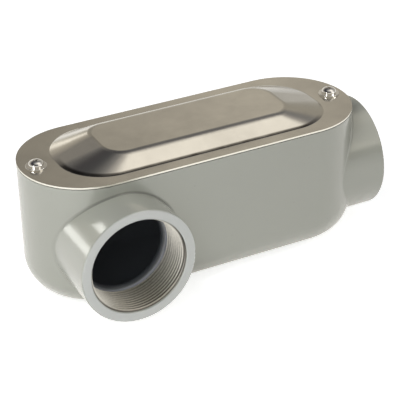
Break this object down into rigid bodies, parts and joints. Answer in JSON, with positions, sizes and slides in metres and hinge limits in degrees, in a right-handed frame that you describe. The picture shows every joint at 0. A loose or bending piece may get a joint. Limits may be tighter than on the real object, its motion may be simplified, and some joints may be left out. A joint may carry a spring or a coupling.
{
  "type": "conduit body",
  "caption": "Angled conduit body with a screwed, raised pan cover, a threaded hub at one end and another through its side.",
  "frame": {"origin": "centre of the housing's flat back, midway between the centres of its two round ends", "axes": "+X out of the end hub, -Y out of the side hub, +Z out of the cover; the back rests on z = 0"},
  "size_m": [0.2272, 0.1045, 0.0908],
  "materials": {
    "housing": "satin",
    "gasket": "matte",
    "cover": "satin",
    "fasteners": "polished"
  },
  "bodies": {
    "housing": {"housing_casting": "housing", "cover_gasket": "gasket"},
    "cover": {"cover": "cover", "washer_left": "fasteners", "washer_right": "fasteners"},
    "screw_left": {"cover_screw_left": "fasteners"},
    "screw_right": {"cover_screw_right": "fasteners"}
  },
  "joints": [
    {"name": "cover_lift", "type": "slide", "parent": "housing", "child": "cover", "axis": [0, 0, 1], "range_m": [0, 0.04]},
    {"name": "screw_left_rise", "type": "slide", "parent": "cover", "child": "screw_left", "axis": [0, 0, 1], "range_m": [0, 0.014]},
    {"name": "screw_right_rise", "type": "slide", "parent": "cover", "child": "screw_right", "axis": [0, 0, 1], "range_m": [0, 0.014]}
  ]
}
